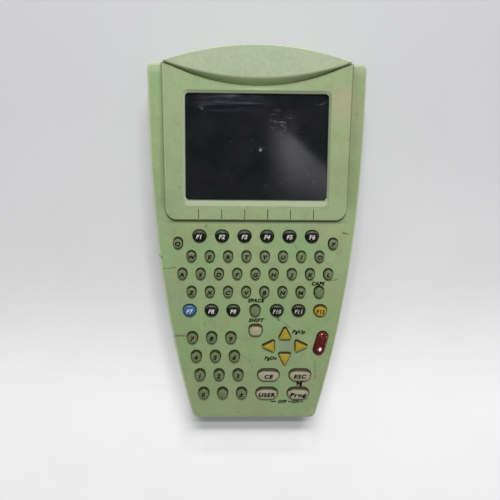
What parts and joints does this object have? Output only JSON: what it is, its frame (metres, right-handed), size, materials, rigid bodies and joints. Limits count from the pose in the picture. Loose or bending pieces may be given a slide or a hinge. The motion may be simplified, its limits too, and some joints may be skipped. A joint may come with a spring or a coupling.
{
  "type": "data collector",
  "caption": "Handheld survey data collector: tapered two-part case with bumpers, framed display, full keypad, battery door, round cable port and a hand strap on the back.",
  "frame": {"origin": "middle of the footprint, on the plane the collector rests on when it lies on its back", "axes": "+X to the right seen from the keypad side, +Y towards the crowned top end above the display, +Z out of the keypad face"},
  "size_m": [0.123, 0.2184, 0.048],
  "materials": {
    "housing": "moulded sage green, scuffed and yellowed with use",
    "cap": "paler sage green moulded plastic",
    "seal": "matte rubber",
    "window": "dark clear window over an unlit display, lightly scratched",
    "lcd": "unlit display in a metal frame",
    "silicone": "matte silicone",
    "circuit_board": "solder-masked board",
    "black_plastic": "moulded black",
    "battery": "fine-textured dark grey",
    "contacts": "gold plated spring",
    "port_metal": "satin nickel plate",
    "webbing": "woven nylon webbing",
    "steel": "satin",
    "brass": "machined",
    "key_black": "satin black with a pale legend",
    "key_blue": "satin blue with a pale legend",
    "key_ochre": "satin ochre with a dark legend",
    "key_green": "satin green with a dark legend",
    "key_cream": "satin cream with a dark legend",
    "key_yellow": "satin yellow",
    "key_red": "glossy dark red"
  },
  "bodies": {
    "case": {"front_cover": "housing", "display_frame": "housing", "top_cap": "cap", "rear_cover": "housing", "housing_seal": "seal", "display_window": "window", "window_gasket": "seal", "lcd_module": "lcd", "keypad_mat": "silicone", "keypad_board": "circuit_board", "main_board": "circuit_board", "board_connector": "black_plastic", "battery_pack": "battery", "battery_contacts": "contacts", "port_socket": "port_metal", "hand_strap": "webbing", "strap_bars": "steel", "bracket_inserts": "brass", "case_screws": "steel"},
    "key_f1": {"key_f1": "key_black"},
    "key_f2": {"key_f2": "key_black"},
    "key_f3": {"key_f3": "key_black"},
    "key_f4": {"key_f4": "key_black"},
    "key_f5": {"key_f5": "key_black"},
    "key_f6": {"key_f6": "key_black"},
    "key_f7": {"key_f7": "key_blue"},
    "key_f8": {"key_f8": "key_black"},
    "key_f9": {"key_f9": "key_black"},
    "key_f10": {"key_f10": "key_black"},
    "key_f11": {"key_f11": "key_black"},
    "key_f12": {"key_f12": "key_ochre"},
    "key_7": {"key_7": "key_green"},
    "key_8": {"key_8": "key_green"},
    "key_9": {"key_9": "key_green"},
    "key_4": {"key_4": "key_green"},
    "key_5": {"key_5": "key_green"},
    "key_6": {"key_6": "key_green"},
    "key_1": {"key_1": "key_green"},
    "key_2": {"key_2": "key_green"},
    "key_3": {"key_3": "key_green"},
    "key_0": {"key_0": "key_green"},
    "key_point": {"key_point": "key_green"},
    "key_sign": {"key_sign": "key_green"},
    "key_ce": {"key_ce": "key_cream"},
    "key_esc": {"key_esc": "key_cream"},
    "key_user": {"key_user": "key_cream"},
    "key_prog": {"key_prog": "key_cream"},
    "key_shift": {"key_shift": "key_cream"},
    "key_up": {"key_up": "key_yellow"},
    "key_left": {"key_left": "key_yellow"},
    "key_down": {"key_down": "key_yellow"},
    "key_right": {"key_right": "key_yellow"},
    "key_space": {"key_space": "key_green"},
    "key_caps": {"key_caps": "key_green"},
    "key_enter": {"key_enter": "key_red"},
    "keys_row_q": {"keys_row_q": "key_green"},
    "keys_row_a": {"keys_row_a": "key_green"},
    "keys_row_z": {"keys_row_z": "key_green"},
    "battery_door": {"battery_door": "housing"},
    "door_lock": {"door_lock": "steel"}
  },
  "joints": [
    {"name": "battery_door_hinge", "type": "hinge", "parent": "case", "child": "battery_door", "pos_m": [0, 0.0964, 0.002], "axis": [1, 0, 0], "range_deg": [0, 95]},
    {"name": "door_lock_turn", "type": "hinge", "parent": "battery_door", "child": "door_lock", "pos_m": [0, 0.0437, 0.003], "axis": [0, 0, 1], "range_deg": [0, 90]},
    {"name": "press_f1", "type": "slide", "parent": "case", "child": "key_f1", "axis": [0, 0, -1], "range_m": [0, 0.001], "stiffness_N_per_m": 800},
    {"name": "press_f2", "type": "slide", "parent": "case", "child": "key_f2", "axis": [0, 0, -1], "range_m": [0, 0.001], "stiffness_N_per_m": 800},
    {"name": "press_f3", "type": "slide", "parent": "case", "child": "key_f3", "axis": [0, 0, -1], "range_m": [0, 0.001], "stiffness_N_per_m": 800},
    {"name": "press_f4", "type": "slide", "parent": "case", "child": "key_f4", "axis": [0, 0, -1], "range_m": [0, 0.001], "stiffness_N_per_m": 800},
    {"name": "press_f5", "type": "slide", "parent": "case", "child": "key_f5", "axis": [0, 0, -1], "range_m": [0, 0.001], "stiffness_N_per_m": 800},
    {"name": "press_f6", "type": "slide", "parent": "case", "child": "key_f6", "axis": [0, 0, -1], "range_m": [0, 0.001], "stiffness_N_per_m": 800},
    {"name": "press_f7", "type": "slide", "parent": "case", "child": "key_f7", "axis": [0, 0, -1], "range_m": [0, 0.001], "stiffness_N_per_m": 800},
    {"name": "press_f8", "type": "slide", "parent": "case", "child": "key_f8", "axis": [0, 0, -1], "range_m": [0, 0.001], "stiffness_N_per_m": 800},
    {"name": "press_f9", "type": "slide", "parent": "case", "child": "key_f9", "axis": [0, 0, -1], "range_m": [0, 0.001], "stiffness_N_per_m": 800},
    {"name": "press_f10", "type": "slide", "parent": "case", "child": "key_f10", "axis": [0, 0, -1], "range_m": [0, 0.001], "stiffness_N_per_m": 800},
    {"name": "press_f11", "type": "slide", "parent": "case", "child": "key_f11", "axis": [0, 0, -1], "range_m": [0, 0.001], "stiffness_N_per_m": 800},
    {"name": "press_f12", "type": "slide", "parent": "case", "child": "key_f12", "axis": [0, 0, -1], "range_m": [0, 0.001], "stiffness_N_per_m": 800},
    {"name": "press_7", "type": "slide", "parent": "case", "child": "key_7", "axis": [0, 0, -1], "range_m": [0, 0.001], "stiffness_N_per_m": 800},
    {"name": "press_8", "type": "slide", "parent": "case", "child": "key_8", "axis": [0, 0, -1], "range_m": [0, 0.001], "stiffness_N_per_m": 800},
    {"name": "press_9", "type": "slide", "parent": "case", "child": "key_9", "axis": [0, 0, -1], "range_m": [0, 0.001], "stiffness_N_per_m": 800},
    {"name": "press_4", "type": "slide", "parent": "case", "child": "key_4", "axis": [0, 0, -1], "range_m": [0, 0.001], "stiffness_N_per_m": 800},
    {"name": "press_5", "type": "slide", "parent": "case", "child": "key_5", "axis": [0, 0, -1], "range_m": [0, 0.001], "stiffness_N_per_m": 800},
    {"name": "press_6", "type": "slide", "parent": "case", "child": "key_6", "axis": [0, 0, -1], "range_m": [0, 0.001], "stiffness_N_per_m": 800},
    {"name": "press_1", "type": "slide", "parent": "case", "child": "key_1", "axis": [0, 0, -1], "range_m": [0, 0.001], "stiffness_N_per_m": 800},
    {"name": "press_2", "type": "slide", "parent": "case", "child": "key_2", "axis": [0, 0, -1], "range_m": [0, 0.001], "stiffness_N_per_m": 800},
    {"name": "press_3", "type": "slide", "parent": "case", "child": "key_3", "axis": [0, 0, -1], "range_m": [0, 0.001], "stiffness_N_per_m": 800},
    {"name": "press_0", "type": "slide", "parent": "case", "child": "key_0", "axis": [0, 0, -1], "range_m": [0, 0.001], "stiffness_N_per_m": 800},
    {"name": "press_point", "type": "slide", "parent": "case", "child": "key_point", "axis": [0, 0, -1], "range_m": [0, 0.001], "stiffness_N_per_m": 800},
    {"name": "press_sign", "type": "slide", "parent": "case", "child": "key_sign", "axis": [0, 0, -1], "range_m": [0, 0.001], "stiffness_N_per_m": 800},
    {"name": "press_ce", "type": "slide", "parent": "case", "child": "key_ce", "axis": [0, 0, -1], "range_m": [0, 0.001], "stiffness_N_per_m": 800},
    {"name": "press_esc", "type": "slide", "parent": "case", "child": "key_esc", "axis": [0, 0, -1], "range_m": [0, 0.001], "stiffness_N_per_m": 800},
    {"name": "press_user", "type": "slide", "parent": "case", "child": "key_user", "axis": [0, 0, -1], "range_m": [0, 0.001], "stiffness_N_per_m": 800},
    {"name": "press_prog", "type": "slide", "parent": "case", "child": "key_prog", "axis": [0, 0, -1], "range_m": [0, 0.001], "stiffness_N_per_m": 800},
    {"name": "press_shift", "type": "slide", "parent": "case", "child": "key_shift", "axis": [0, 0, -1], "range_m": [0, 0.001], "stiffness_N_per_m": 800},
    {"name": "press_up", "type": "slide", "parent": "case", "child": "key_up", "axis": [0, 0, -1], "range_m": [0, 0.001], "stiffness_N_per_m": 800},
    {"name": "press_left", "type": "slide", "parent": "case", "child": "key_left", "axis": [0, 0, -1], "range_m": [0, 0.001], "stiffness_N_per_m": 800},
    {"name": "press_down", "type": "slide", "parent": "case", "child": "key_down", "axis": [0, 0, -1], "range_m": [0, 0.001], "stiffness_N_per_m": 800},
    {"name": "press_right", "type": "slide", "parent": "case", "child": "key_right", "axis": [0, 0, -1], "range_m": [0, 0.001], "stiffness_N_per_m": 800},
    {"name": "press_space", "type": "slide", "parent": "case", "child": "key_space", "axis": [0, 0, -1], "range_m": [0, 0.001], "stiffness_N_per_m": 800},
    {"name": "press_caps", "type": "slide", "parent": "case", "child": "key_caps", "axis": [0, 0, -1], "range_m": [0, 0.001], "stiffness_N_per_m": 800},
    {"name": "press_enter", "type": "slide", "parent": "case", "child": "key_enter", "axis": [0, 0, -1], "range_m": [0, 0.001], "stiffness_N_per_m": 800},
    {"name": "press_row_q", "type": "slide", "parent": "case", "child": "keys_row_q", "axis": [0, 0, -1], "range_m": [0, 0.001], "stiffness_N_per_m": 2400},
    {"name": "press_row_a", "type": "slide", "parent": "case", "child": "keys_row_a", "axis": [0, 0, -1], "range_m": [0, 0.001], "stiffness_N_per_m": 2400},
    {"name": "press_row_z", "type": "slide", "parent": "case", "child": "keys_row_z", "axis": [0, 0, -1], "range_m": [0, 0.001], "stiffness_N_per_m": 2400}
  ]
}
